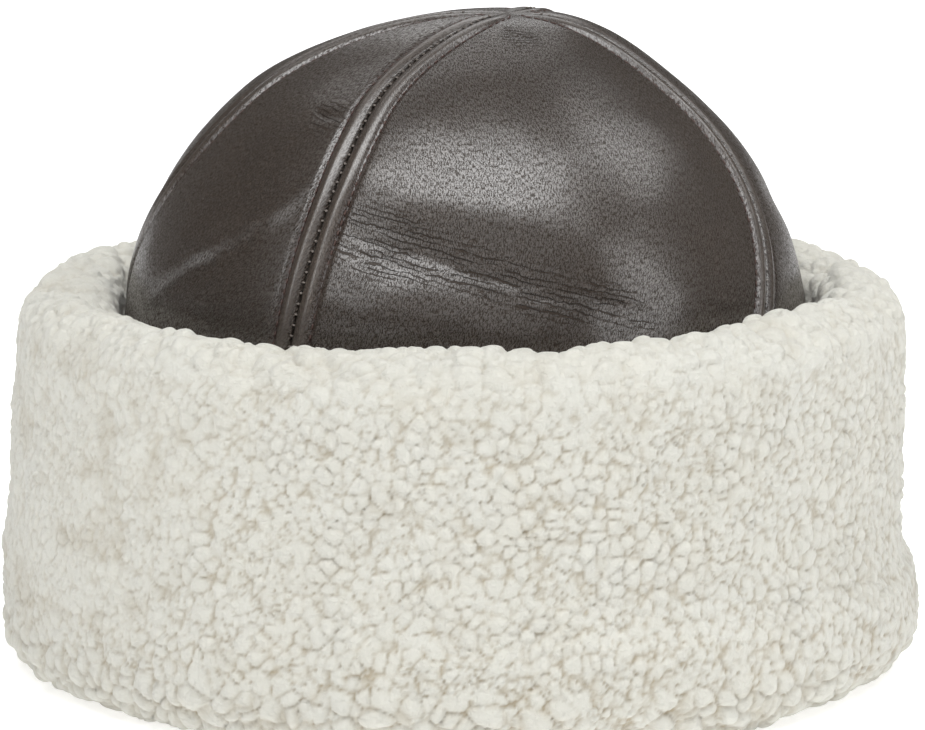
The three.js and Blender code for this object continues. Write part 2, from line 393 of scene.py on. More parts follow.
def fleece_relief(places, sizes, looseness, softness):
    """The wool's height over its wall, and how deep between curls each place lies, from 0 to 1, which sets
    the warm root colour and the painted shade there.
    """
    wander = []
    for seed in (11, 12, 13):
        wander.append(0.7 * drift(places, 4.5 * MM, seed) + 1.6 * drift(places, 15 * MM, seed + 5))
    bent = places + MM * np.stack(wander, axis=1)
    mixed = ease(drift(places, 12 * MM, 31) + 0.5 * softness, -0.5, 0.8)
    coarse, coarse_gap = curl_relief(bent, sizes.curl, 21)
    fine, fine_gap = curl_relief(bent, 0.64 * sizes.curl, 22)
    large, large_gap = curl_relief(bent, 1.45 * sizes.curl, 23)
    coarse = coarse * (1 - 0.4 * mixed) * (1 - 0.5 * looseness)
    fine = fine * (0.48 + 0.3 * mixed)
    large = large * 1.3 * looseness
    gaps = np.where(coarse > fine, coarse_gap, 0.8 * fine_gap)
    gaps = np.where(large > np.maximum(coarse, fine), large_gap, gaps)
    curls = np.maximum(np.maximum(coarse, fine), np.maximum(large, 0.36))
    _nearest, inside, own = nearest_curls(bent, sizes.lock, 41, 0.6)
    cracked = ease(drift(places, 22 * MM, 42) + 0.4 * drift(places, 7 * MM, 43), 0.0, 0.6)
    crack = np.exp(-inside / 0.04) * cracked * (1 - 0.5 * softness)
    swell = (own - 0.5) * (1 - np.exp(-inside * 7))
    tufts = drift(places, 7 * MM, 53)
    waves = 0.6 * drift(places, 26 * MM, 51) + 0.4 * drift(places, 11 * MM, 52) + 0.6 * softness * tufts
    height = sizes.curl_height * (1 - 0.3 * softness) * (curls - 0.7) + MM * waves
    height += sizes.lock_height * (0.6 * swell - 0.5 * crack)
    # Painted shade between the curls, stronger in the locks' cracks and the loose gaps, together with the
    # wool's warm root colour.
    root_and_shade = (0.36 * gaps + 0.5 * ease(-curls, -0.6, -0.34)) * (1 - 0.55 * softness) * (1 + 0.6 * looseness)
    root_and_shade = root_and_shade + 0.3 * crack + 0.3 * softness * ease(-tufts, 0.1, 0.8)
    return height, np.clip(root_and_shade, 0, 1)


# The crown's shape

def seam_azimuth(seam, polar):
    down = np.clip(polar / QUARTER, 0, 1)
    degrees = seam["apex"] + (seam["hem"] - seam["apex"]) * down + seam["bow"] * np.sin(math.pi * down)
    return np.radians(degrees)


def crown_places(azimuth, polar, drop, raised, sizes):
    """Places over the dome and its wall, raised off the leather by a height that may be negative."""
    lean = 1 - ease(polar, 0, APEX_LEAN_REACH)
    radius = sizes.crown_radius + raised - sizes.apex_dip * (1 - ease(polar, 0, APEX_DIP_REACH))
    out = radius * np.sin(polar)
    return np.stack([
        CROWN_X + APEX_LEAN[0] * lean + out * np.sin(azimuth),
        APEX_LEAN[1] * lean - out * np.cos(azimuth),
        DOME_Z + radius * np.cos(polar) - drop,
    ], axis=-1)


def seam_relief(distance, polar):
    """The height of the leather beside a seam, flatter where the seams meet."""
    height = 0 * distance
    for part in SEAM_SECTION:
        height = height + part["height"] * bell(distance - part["place"], part["width"])
    return height * (TIP_FLATNESS + (1 - TIP_FLATNESS) * ease(polar, *TIP_REACH))


def fold_relief(azimuth, polar):
    """The height of the leather's folds, and how creased the leather is near the sharp ones, from 0 to 1."""
    height = np.zeros_like(azimuth)
    creased = np.zeros_like(azimuth)
    for number, fold in enumerate(FOLDS):
        turn = np.degrees(azimuth) - fold["azimuth"]
        turn = (turn + 180) % 360 - 180
        along = turn / fold["length"]
        wander = 0.5 * np.sin(turn * 0.31 + number) + 0.25 * np.sin(turn * 0.83 + 2 * number)
        line = fold["polar"] + fold["slant"] * turn + wander
        across = np.degrees(polar) - line
        reach = np.clip(1 - along ** 2, 0, 1)
        height += fold["height"] * MM * np.exp(-2 * (across / fold["width"]) ** 2) * reach
        if fold["width"] < 1:
            creased = np.maximum(creased, bell(across, 2.9) * reach)
    return height, np.clip(1.8 * creased, 0, 1)


# Meshes

def new_piece(name, mesh):
    piece = bpy.data.objects.new(name, mesh)
    bpy.context.scene.collection.objects.link(piece)
    return piece


def shade_smooth(mesh):
    mesh.polygons.foreach_set("use_smooth", np.ones(len(mesh.polygons), dtype=bool))


def mesh_places(mesh):
    flat = np.empty(3 * len(mesh.vertices))
    mesh.vertices.foreach_get("co", flat)
    return flat.reshape(-1, 3)


def place_vertices(mesh, places):
    mesh.vertices.foreach_set("co", np.ascontiguousarray(places, dtype=np.float32).ravel())
    mesh.update()


def write_attribute(mesh, name, values):
    attribute = mesh.attributes.new(name, "FLOAT", "POINT")
    attribute.data.foreach_set("value", np.ascontiguousarray(values, dtype=np.float32))


def clothe(piece, material, nodes):
    piece.data.materials.append(material)
    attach(piece, BODY)
    if nodes:
        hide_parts(*nodes)


# Leather gores

def gore_mesh(gore, sizes):
    """A grid drawn out over the dome between two seams, with a flat map of the skin in metres."""
    rows = sum(stretch["rows"] for stretch in GORE_ROWS)
    sheet = bmesh.new()
    bmesh.ops.create_grid(sheet, x_segments=GORE_COLUMNS, y_segments=rows, size=0.5)
    mesh = bpy.data.meshes.new(gore["node"] + "_leather")
    sheet.to_mesh(mesh)
    sheet.free()
    flat = mesh_places(mesh)
    column = (flat[:, 0] + 0.5) * GORE_COLUMNS
    row = (0.5 - flat[:, 1]) * rows
    row_ends = np.cumsum([0] + [stretch["rows"] for stretch in GORE_ROWS])
    down = np.interp(row, row_ends, [0] + [stretch["ends"] for stretch in GORE_ROWS])
    arc = sizes.crown_radius * QUARTER
    polar = np.minimum(down / sizes.crown_radius, QUARTER)
    hem_drop = DOME_Z - PANEL_HEM_Z
    drop = np.clip(down - arc, 0, hem_drop)
    first = seam_azimuth(SEAMS[gore["start"]], polar)
    last = seam_azimuth(SEAMS[gore["end"]], polar)
    width = np.maximum(sizes.crown_radius * np.sin(polar), 0.001 * MM) * (last - first)
    band = np.minimum(BAND_REACH, 0.22 * width)
    near = np.clip(column / BAND_COLUMNS, 0, 1) ** 1.25
    far = np.clip((GORE_COLUMNS - column) / BAND_COLUMNS, 0, 1) ** 1.25
    middle = (column - BAND_COLUMNS) / (GORE_COLUMNS - 2 * BAND_COLUMNS)
    across = np.where(far < 1, width - band * far, band + (width - 2 * band) * middle)
    across = np.where(near < 1, band * near, across)
    gap = np.minimum(SEAM_GAP, 0.1 * width)
    across = np.clip(across, gap, width - gap)
    azimuth = first + (last - first) * across / width
    scale = np.clip(width / 2 / BAND_REACH, 0.02, 1)
    distance = np.minimum(across, width - across)
    raised = seam_relief(distance / scale, polar) * scale
    inner = ease(distance, 2 * MM, 9 * MM)
    folded, creased = fold_relief(azimuth, polar)
    raised = raised + folded * inner
    spots = crown_places(azimuth, polar, drop, 0 * raised, sizes)
    for waves in SKIN_WAVES:
        raised = raised + inner * waves["height"] * drift(spots, waves["width"], waves["seed"])
    place_vertices(mesh, crown_places(azimuth, polar, drop, raised, sizes))
    seam_distance = np.clip(distance / scale / BAND_REACH, 0, 1)
    write_attribute(mesh, "seam_distance", seam_distance)
    write_attribute(mesh, "creased", creased * inner)
    uv = mesh.uv_layers.new(name="skin")
    corner = np.empty(len(mesh.loops), dtype=np.int32)
    mesh.loops.foreach_get("vertex_index", corner)
    skin = np.stack([across - width / 2, -down], axis=1)[corner]
    uv.data.foreach_set("uv", skin.astype(np.float32).ravel())
    close_tip(mesh)
    shade_smooth(mesh)
    return mesh


def close_tip(mesh):
    """Joins the vertices that meet at the gore's tip."""
    sheet = bmesh.new()
    sheet.from_mesh(mesh)
    bmesh.ops.remove_doubles(sheet, verts=sheet.verts, dist=0.01 * MM)
    sheet.to_mesh(mesh)
    sheet.free()


class HAT_OT_leather_gores(bpy.types.Operator):
    """Draws the four leather gores over the crown, with their seam bands and folds"""

    bl_idname = "hat.leather_gores"
    bl_label = "Leather gores"

    def execute(self, context):
        sizes = context.scene.hat_sizes
        material = leather_material(context.scene.hat_colours)
        for gore in GORES:
            piece = new_piece(gore["node"].replace("panel", "gore"), gore_mesh(gore, sizes))
            wall = piece.modifiers.new("Skin", "SOLIDIFY")
            wall.thickness = sizes.leather
            wall.offset = -1
            clothe(piece, material, [gore["node"]])
        return {"FINISHED"}


# Stitches

def seam_stations(seam, side, first, sizes):
    """Places and turns of stitches along a seam, a fixed distance to one side of it."""
    stations = []
    for down in np.arange(first, STITCH_END, sizes.stitch_length):
        ends = [seam_spot(seam, side, down + half, sizes) for half in (-0.01 * MM, 0.01 * MM)]
        middle = seam_spot(seam, side, down, sizes)
        along = (ends[1] - ends[0]).normalized()
        outward = (middle - Vector((CROWN_X, 0, DOME_Z))).normalized()
        if down > sizes.crown_radius * QUARTER:
            outward = Vector((middle.x - CROWN_X, middle.y, 0)).normalized()
        stations.append((middle, along, outward))
    return stations


def seam_spot(seam, side, down, sizes):
    polar = min(down / sizes.crown_radius, QUARTER)
    drop = max(0.0, down - sizes.crown_radius * QUARTER)
    reach = sizes.crown_radius * math.sin(polar)
    scale = min(1.0, max(0.02, reach * QUARTER / 2 / BAND_REACH))
    azimuth = float(seam_azimuth(seam, np.array(polar))) + side * scale / max(reach, MM)
    raised = float(seam_relief(np.array(abs(side)), np.array(polar))) * scale
    return Vector(crown_places(np.array(azimuth), np.array(polar), drop, raised, sizes).tolist())


def add_thread(sheet, place, along, outward, length, thick):
    """One stitch: a short rounded length of thread with few faces."""
    side = outward.cross(along).normalized()
    top = along.cross(side).normalized()
    turn = Matrix((side, along, top)).transposed().to_4x4()
    size = Matrix.Diagonal((thick / 2, length / 2, thick / 2, 1))
    matrix = Matrix.Translation(place) @ turn @ size
    bmesh.ops.create_icosphere(sheet, subdivisions=1, radius=1, matrix=matrix)


class HAT_OT_top_stitches(bpy.types.Operator):
    """Sews a row of top stitches along each side of every seam, and the stitches that close it"""

    bl_idname = "hat.top_stitches"
    bl_label = "Top stitches"

    def execute(self, context):
        sizes = context.scene.hat_sizes
        colours = context.scene.hat_colours
        self.sew_rows(sizes, thread_material("top_thread", colours.thread))
        self.sew_seams(sizes, thread_material("seam_thread", colours.seam_thread))
        return {"FINISHED"}

    def sew_rows(self, sizes, material):
        sheet = bmesh.new()
        length = sizes.stitch_length * STITCH_SHARE
        for name, side in itertools.product(STITCHED_SEAMS, (-sizes.stitch_row, sizes.stitch_row)):
            for place, along, outward in seam_stations(SEAMS[name], side, ROW_START, sizes):
                add_thread(sheet, place + outward * ROW_LIFT, along, outward, length, sizes.thread)
        self.finish_piece(sheet, "top_stitches", material)

    def sew_seams(self, sizes, material):
        sheet = bmesh.new()
        for name in STITCHED_SEAMS:
            for place, along, outward in seam_stations(SEAMS[name], 0.0, SEAM_START, sizes):
                side = outward.cross(along).normalized()
                spot = place + outward * SEAM_LIFT
                add_thread(sheet, spot, side, outward, SEAM_STITCH_LENGTH, SEAM_STITCH_THICKNESS)
        self.finish_piece(sheet, "seam_stitches", material)

    def finish_piece(self, sheet, name, material):
        mesh = bpy.data.meshes.new(name)
        sheet.to_mesh(mesh)
        sheet.free()
        shade_smooth(mesh)
        clothe(new_piece(name, mesh), material, [])


# Fleece

def arc_points(centre_r, centre_z, radius, degrees):
    return [
        (centre_r + radius * math.cos(math.radians(turn)), centre_z + radius * math.sin(math.radians(turn)))
        for turn in degrees
    ]


def cuff_outline(side):
    """The cuff's section on one side of the hat, as points on a smooth closed outline, in metres."""
    wall = [(row[side], row["z"]) for row in CUFF_WALL]
    rim = []
    for index, turn in enumerate(RIM_ANGLES):
        share = index / (len(RIM_ANGLES) - 1)
        centre = (wall[-1][0] - RIM_RADIUS) * (1 - share) + RIM_CENTRE_R * share
        rim += arc_points(centre, RIM_CENTRE_Z, RIM_RADIUS, [turn])
    inside = [(row["r"], row["z"]) for row in SLOT_WALL + MOUTH_WALL + REST_RING]
    fold = arc_points(FOLD_CENTRE_R, FOLD_RADIUS, FOLD_RADIUS, FOLD_ANGLES)
    return np.array(fold + wall + rim + inside) * MM


def smooth_loop(points, counts):
    """A smooth closed curve through the points, with a number of steps between each and the next."""
    before, here = np.roll(points, 1, axis=0), points
    after, beyond = np.roll(points, -1, axis=0), np.roll(points, -2, axis=0)
    curve = []
    for index, count in enumerate(counts):
        share = (np.arange(count) / count)[:, None]
        p0, p1, p2, p3 = before[index], here[index], after[index], beyond[index]
        bend = 2 * p1 + (p2 - p0) * share
        bend = bend + (2 * p0 - 5 * p1 + 4 * p2 - p3) * share ** 2
        curve.append(0.5 * (bend + (3 * p1 - p0 - 3 * p2 + p3) * share ** 3))
    return np.concatenate(curve)


def step_counts(points, step):
    """Steps between neighbouring points: close where the wool shows, and few on the hidden slot."""
    lengths = np.linalg.norm(np.roll(points, -1, axis=0) - points, axis=1)
    shown = len(FOLD_ANGLES) + len(CUFF_WALL) + len(RIM_ANGLES)
    spacing = np.full(len(points), 2 * step)
    spacing[:shown] = step
    spacing[shown:shown + len(SLOT_WALL) - 1] = 5 * step
    return np.maximum(1, np.round(lengths / spacing)).astype(int)


def wall_grid(name, columns, rows):
    """A grid to draw into a wall, with the column and row of each of its vertices."""
    sheet = bmesh.new()
    bmesh.ops.create_grid(sheet, x_segments=columns, y_segments=rows, size=0.5)
    mesh = bpy.data.meshes.new(name)
    sheet.to_mesh(mesh)
    sheet.free()
    flat = mesh_places(mesh)
    column = np.round((flat[:, 0] + 0.5) * columns).astype(int)
    row = np.round((flat[:, 1] + 0.5) * rows).astype(int)
    return mesh, column, row


def close_wall(mesh):
    """Joins the grid's meeting edges and closes the ends that stay open."""
    sheet = bmesh.new()
    sheet.from_mesh(mesh)
    bmesh.ops.remove_doubles(sheet, verts=sheet.verts, dist=0.002 * MM)
    open_edges = [edge for edge in sheet.edges if edge.is_boundary]
    if open_edges:
        for edge in open_edges:
            edge.smooth = False
        ends = bmesh.ops.holes_fill(sheet, edges=open_edges, sides=0)["faces"]
        bmesh.ops.triangulate(sheet, faces=ends)
    sheet.to_mesh(mesh)
    sheet.free()
    shade_smooth(mesh)


def cuff_section(azimuth, station, left, right):
    """Each vertex's place on the cuff's own section, and the direction out of it, in the section's plane."""
    share = ((1 + np.sin(azimuth)) / 2)[:, None]
    count = len(left)

    def point(number):
        return left[number % count] * (1 - share) + right[number % count] * share

    here = point(station)
    run = point(station + 1) - point(station - 1)
    out = np.stack([run[:, 1], -run[:, 0]], axis=1)
    out /= np.maximum(np.linalg.norm(out, axis=1, keepdims=True), 1e-9)
    return here, out


def cuff_mesh(length, sizes):
    outline = {side: cuff_outline(side) for side in ("left", "right")}
    counts = step_counts((outline["left"] + outline["right"]) / 2, sizes.step)
    left, right = (smooth_loop(outline[side], counts) for side in ("left", "right"))
    start, end = math.radians(length["start"]), math.radians(length["end"])
    steps = int(round((end - start) * CUFF_HIGH[0] / sizes.step))
    mesh, column, station = wall_grid("cuff_fleece_" + length["name"], steps, len(left))
    azimuth = start + (end - start) * column / steps
    here, out = cuff_section(azimuth, station, left, right)
    facing = np.clip(np.cos(azimuth - RIM_DIP_AZIMUTH), 0, 1)
    lift = -RIM_DIP * MM * facing ** 2 * ease(here[:, 1], 50 * MM, 100 * MM)
    r, z = here[:, 0], here[:, 1] + lift
    ring = np.stack([np.sin(azimuth), -np.cos(azimuth)], axis=1)
    shift = CROWN_X * (1 - ease(r, 100 * MM, 118 * MM))
    still = np.column_stack([r * ring[:, 0] + shift, r * ring[:, 1], z])
    outer = ease(r, 108 * MM, 114 * MM)
    low = 1 - ease(z, 8 * MM, 34 * MM)
    loose_below = 0.95 * low * outer * ease(drift(still, 40 * MM, 71), -1.1, -0.1)
    tufted = ease(z, 92 * MM, 106 * MM)
    looseness = np.maximum(loose_below, 0.75 * tufted)
    rim = ease(z, 84 * MM, 104 * MM)
    leftward = ease(-np.sin(azimuth) + 0.35 * drift(still, 30 * MM, 72), 0.25, 0.75)
    softness = np.maximum(0.8 * rim, 0.8 * leftward) * (1 - loose_below)
    height, root_and_shade = fleece_relief(still, sizes, looseness, softness)
    # The rim's tufts get less of the root colour and painted shade.
    root_and_shade *= 1 - 0.4 * tufted
    height *= resting_share(z) * hidden_share(r, z)
    height *= 1 + 0.6 * ease(z, 98 * MM, 108 * MM) + 0.35 * looseness
    direction = np.column_stack([out[:, 0:1] * ring, out[:, 1]])
    places = still + direction * height[:, None]
    places[:, 2] = np.maximum(places[:, 2], 0)
    place_vertices(mesh, places)
    write_attribute(mesh, "root_and_shade", root_and_shade)
    write_attribute(mesh, "softness", softness)
    close_wall(mesh)
    return mesh


def resting_share(z):
    """Wool is pressed flat where the hat rests on it."""
    return 0.2 + 0.8 * ease(z, 0, 3 * MM)


def hidden_share(r, z):
    """Wool is pressed flat in the slot that the crown's hem is in, below the rim."""
    slot = (1 - ease(r, 103.5 * MM, 105 * MM)) * ease(r, 94 * MM, 96 * MM)
    return 1 - 0.9 * slot * (1 - ease(z, 88 * MM, 97 * MM))


class HAT_OT_cuff_fleece(bpy.types.Operator):
    """Makes the turned-up cuff's wool in four lengths, with curls, locks and a flattened base"""

    bl_idname = "hat.cuff_fleece"
    bl_label = "Cuff fleece"

    def execute(self, context):
        sizes = context.scene.fleece_sizes
        material = fleece_material("cuff_fleece", context.scene.hat_colours)
        for length in CUFF_LENGTHS:
            mesh = cuff_mesh(length, sizes)
            piece = new_piece(mesh.name, mesh)
            clothe(piece, material, ["cuff"])
        return {"FINISHED"}


def pile_outline(hat, thick, step):
    """The wool shell's section, down its inside and up its outside, and how many points are inside."""
    outer = hat.crown_radius - hat.leather - 3 * MM
    inner = outer - thick
    hem = PILE_LOW[2] + 0.5 * MM
    down = np.append(np.arange(0, inner * QUARTER, step), inner * QUARTER)
    inside = [(inner * math.sin(turn), DOME_Z + inner * math.cos(turn)) for turn in down / inner]
    inside += [(inner, z) for z in np.linspace(DOME_Z, hem, int((DOME_Z - hem) / step))[1:]]
    outside = [(outer, z) for z in np.linspace(hem, DOME_Z, 6)[:-1]]
    rising = np.linspace(QUARTER, 0, 14)
    outside += [(outer * math.sin(turn), DOME_Z + outer * math.cos(turn)) for turn in rising]
    return np.array(inside + outside), len(inside)


class HAT_OT_crown_wool(bpy.types.Operator):
    """Makes the wool side of the crown's skins, which shows from below"""

    bl_idname = "hat.crown_wool"
    bl_label = "Crown wool"

    def execute(self, context):
        hat = context.scene.hat_sizes
        sizes = context.scene.fleece_sizes
        step = PILE_COARSENESS * sizes.step
        outline, inside_count = pile_outline(hat, PILE_THICKNESS, step)
        steps = int(FULL_TURN * PILE_HIGH[0] / step)
        mesh, column, row = wall_grid("crown_wool", steps, len(outline) - 1)
        azimuth = FULL_TURN * (column % steps) / steps
        r, z = outline[row, 0], outline[row, 1]
        still = np.column_stack([r * np.sin(azimuth), -r * np.cos(azimuth), z])
        inner = (row < inside_count).astype(float)
        height, root_and_shade = fleece_relief(still, sizes, 0 * inner, 0 * inner + 0.3)
        centre = np.array([0, 0, 1]) * np.minimum(still[:, 2:3], DOME_Z)
        away = still - centre
        span = np.linalg.norm(away, axis=1)
        polar = np.arctan2(np.hypot(away[:, 0], away[:, 1]), away[:, 2])
        loose = inner * ease(still[:, 2], PILE_LOW[2], PILE_LOW[2] + 4 * MM)
        places = still - away / np.maximum(span, MM)[:, None] * (height * loose)[:, None]
        lean = 1 - ease(polar, 0, APEX_LEAN_REACH)
        places[:, 0] += CROWN_X + APEX_LEAN[0] * lean
        places[:, 1] += APEX_LEAN[1] * lean
        place_vertices(mesh, places)
        write_attribute(mesh, "root_and_shade", root_and_shade)
        write_attribute(mesh, "softness", 0 * inner + 0.3)
        close_wall(mesh)
        piece = new_piece("crown_wool", mesh)
        clothe(piece, fleece_material("crown_wool", context.scene.hat_colours), ["crown_pile"])
        return {"FINISHED"}


# Materials

class Recipe:
    """A material's node tree, built one linked node at a time."""

    def __init__(self, name):
        self.material = bpy.data.materials.new(name)
        self.material.use_nodes = True
        self.nodes = self.material.node_tree.nodes
        self.links = self.material.node_tree.links
        self.nodes.clear()
        self.output = self.nodes.new("ShaderNodeOutputMaterial")
        self.shader = self.nodes.new("ShaderNodeBsdfPrincipled")
        self.links.new(self.shader.outputs["BSDF"], self.output.inputs["Surface"])

    def add(self, kind, settings=None, **inputs):
        node = self.nodes.new(kind)
        for key, value in (settings or {}).items():
            setattr(node, key, value)
        for key, value in inputs.items():
            self.feed(node.inputs[key.replace("_", " ")], value)
        return node

    def feed(self, socket, value):
        if isinstance(value, bpy.types.NodeSocket):
            self.links.new(value, socket)
        else:
            socket.default_value = value

    def attribute(self, name):
        return self.add("ShaderNodeAttribute", {"attribute_name": name}).outputs["Fac"]

    def math(self, operation, first, second=0.5):
        node = self.nodes.new("ShaderNodeMath")
        node.operation = operation
        self.feed(node.inputs[0], first)
        self.feed(node.inputs[1], second)
        return node.outputs[0]

    def span(self, value, low, high, to_low=0.0, to_high=1.0):
        node = self.add("ShaderNodeMapRange")
        for number, part in enumerate((value, low, high, to_low, to_high)):
            self.feed(node.inputs[number], part)
        return node.outputs[0]

    def blend(self, share, first, second):
        node = self.add("ShaderNodeMix", {"data_type": "RGBA"})
        self.feed(node.inputs[0], share)
        self.feed(node.inputs[6], first)
        self.feed(node.inputs[7], second)
        return node.outputs[2]

    def noise(self, vector, scale, detail=2.0, roughness=0.5):
        node = self.add("ShaderNodeTexNoise", Vector=vector, Scale=scale, Detail=detail, Roughness=roughness)
        return node.outputs["Fac"]

    def lines(self, noise, width):
        """Thin lines where a noise crosses its middle: 0 in a line and 1 beside it."""
        return self.span(self.math("ABSOLUTE", self.math("SUBTRACT", noise, 0.5)), 0.0, width)

    def drawn_out(self, vector, lengths, turn=0.0):
        """Makes a pattern that reads the vector longer each way, in a frame that is turned first."""
        node = self.add("ShaderNodeMapping", {"vector_type": "TEXTURE"}, Vector=vector, Scale=lengths)
        self.feed(node.inputs["Rotation"], (0, 0, turn))
        return node.outputs["Vector"]

    def bump(self, height, distance, strength, normal=None):
        node = self.add("ShaderNodeBump", Height=height, Distance=distance, Strength=strength)
        if normal is not None:
            self.feed(node.inputs["Normal"], normal)
        return node.outputs["Normal"]


def colour(value):
    return (*value, 1.0)


def leather_material(colours):
    """Dark brown finished skin: fine grain drawn out down the gore, wrinkles, a soft uneven sheen, and
    painted shade in its creases, grain, seam grooves and stitched rows.
    """
    recipe = Recipe("crown_leather")
    skin = recipe.add("ShaderNodeUVMap", {"uv_map": "skin"}).outputs["UV"]
    place = recipe.add("ShaderNodeTexCoord").outputs["Object"]
    wander = recipe.add("ShaderNodeTexNoise", Vector=skin, Scale=300.0, Detail=2.0).outputs["Color"]
    bent = recipe.add("ShaderNodeVectorMath", {"operation": "MULTIPLY_ADD"})
    recipe.feed(bent.inputs[0], wander)
    recipe.feed(bent.inputs[1], (0.0016, 0.0016, 0.0))
    recipe.feed(bent.inputs[2], skin)
    cells = recipe.add(
        "ShaderNodeTexVoronoi", {"voronoi_dimensions": "2D", "feature": "DISTANCE_TO_EDGE"},
        Vector=recipe.drawn_out(bent.outputs[0], (1.0, 1.5, 1.0)), Scale=1900.0, Randomness=1.0,
    ).outputs["Distance"]
    grain = recipe.span(cells, 0.02, 0.34)
    patches = recipe.noise(place, 26.0, 2.0)
    streaks = recipe.noise(recipe.drawn_out(bent.outputs[0], (1.0, 3.2, 1.0)), 2700.0, 1.0, 0.5)
    streaks = recipe.span(streaks, 0.36, 0.64)
    relief = recipe.math("MULTIPLY_ADD", grain, 0.4)
    recipe.feed(relief.node.inputs[2], recipe.math("MULTIPLY", streaks, 0.6))
    crease_map = recipe.drawn_out(bent.outputs[0], (4.0, 1.0, 1.0), -0.26)
    waves = recipe.add(
        "ShaderNodeTexWave", {"wave_type": "BANDS", "bands_direction": "Y"}, Vector=crease_map, Scale=185.0,
        Distortion=9.0, Detail=3.0, Detail_Scale=0.8, Detail_Roughness=0.6,
    ).outputs["Fac"]
    crease_lines = recipe.span(waves, 0.04, 0.3)
    whole = recipe.span(recipe.noise(crease_map, 330.0, 2.0), 0.5, 0.62)
    uncreased = recipe.math("SUBTRACT", 1.0, recipe.attribute("creased"))
    creases = recipe.math("MAXIMUM", recipe.math("MAXIMUM", crease_lines, whole), uncreased)
    hairlines = recipe.lines(recipe.noise(bent.outputs[0], 130.0, 3.0, 0.55), 0.02)
    sunk = recipe.math("MULTIPLY", creases, recipe.span(hairlines, 0.0, 1.0, 0.62, 1.0))
    relief = recipe.math("MULTIPLY", relief, recipe.span(sunk, 0.0, 1.0, 0.15, 1.0))
    seam = recipe.attribute("seam_distance")
    from_band = recipe.math("ABSOLUTE", recipe.math("SUBTRACT", seam, BAND_PLACE / BAND_REACH))
    taut = recipe.span(from_band, 0.1, 0.28, 0.6, 0.0)
    relief = recipe.math("MULTIPLY_ADD", relief, recipe.math("SUBTRACT", 1.0, taut))
    recipe.feed(relief.node.inputs[2], recipe.math("MULTIPLY", taut, 0.66))
    tone = recipe.noise(place, 55.0, 4.0, 0.6)
    # Painted shade in the seam's closed groove.
    groove = recipe.span(seam, 0.0, 0.08)
    # Painted shade along the groove of each stitched row.
    row = recipe.math("ABSOLUTE", recipe.math("SUBTRACT", seam, ROW_PLACE / BAND_REACH))
    row_groove_shade = recipe.span(row, 0.05, 0.15)
    base = recipe.blend(tone, colour(colours.leather_dark), colour(colours.leather_light))
    # Painted shade: the colour goes to the darkest leather where the relief is low, in creases, hairlines and
    # between the grain.
    base = recipe.blend(recipe.span(relief, 0.15, 0.8), colour(colours.leather_dark), base)
    base = recipe.blend(row_groove_shade, colour(ROW_GROOVE_SHADE), base)
    base = recipe.blend(groove, colour(SEAM_GROOVE_SHADE), base)
    recipe.feed(recipe.shader.inputs["Base Color"], base)
    rough = recipe.math("MULTIPLY_ADD", patches, 0.12)
    recipe.feed(rough.node.inputs[2], recipe.span(relief, 0.2, 0.75, 0.74, 0.32))
    recipe.feed(recipe.shader.inputs["Roughness"], rough)
    recipe.shader.inputs["Specular IOR Level"].default_value = 0.6
    recipe.shader.inputs["Specular Tint"].default_value = colour(LEATHER_GLOW)
    recipe.feed(recipe.shader.inputs["Coat Weight"], recipe.span(relief, 0.18, 0.68, 0.1, 1.0))
    recipe.shader.inputs["Coat Roughness"].default_value = 0.31
    recipe.shader.inputs["Coat IOR"].default_value = 1.95
    normal = recipe.bump(creases, 0.0004, 1.0)
    normal = recipe.bump(relief, 0.0009, 1.0, normal)
    recipe.feed(recipe.shader.inputs["Normal"], normal)
    return recipe.material


def thread_material(name, tint):
    """Twisted thread, with its plies in the bump."""
    recipe = Recipe(name)
    place = recipe.add("ShaderNodeTexCoord").outputs["Object"]
    plies = recipe.noise(place, 2600.0, 2.0)
    shaded = recipe.blend(plies, colour(tuple(0.6 * part for part in tint)), colour(tint))
    recipe.feed(recipe.shader.inputs["Base Color"], shaded)
    recipe.shader.inputs["Roughness"].default_value = 0.6
    recipe.feed(recipe.shader.inputs["Normal"], recipe.bump(plies, 0.0002, 0.5))
    return recipe.material


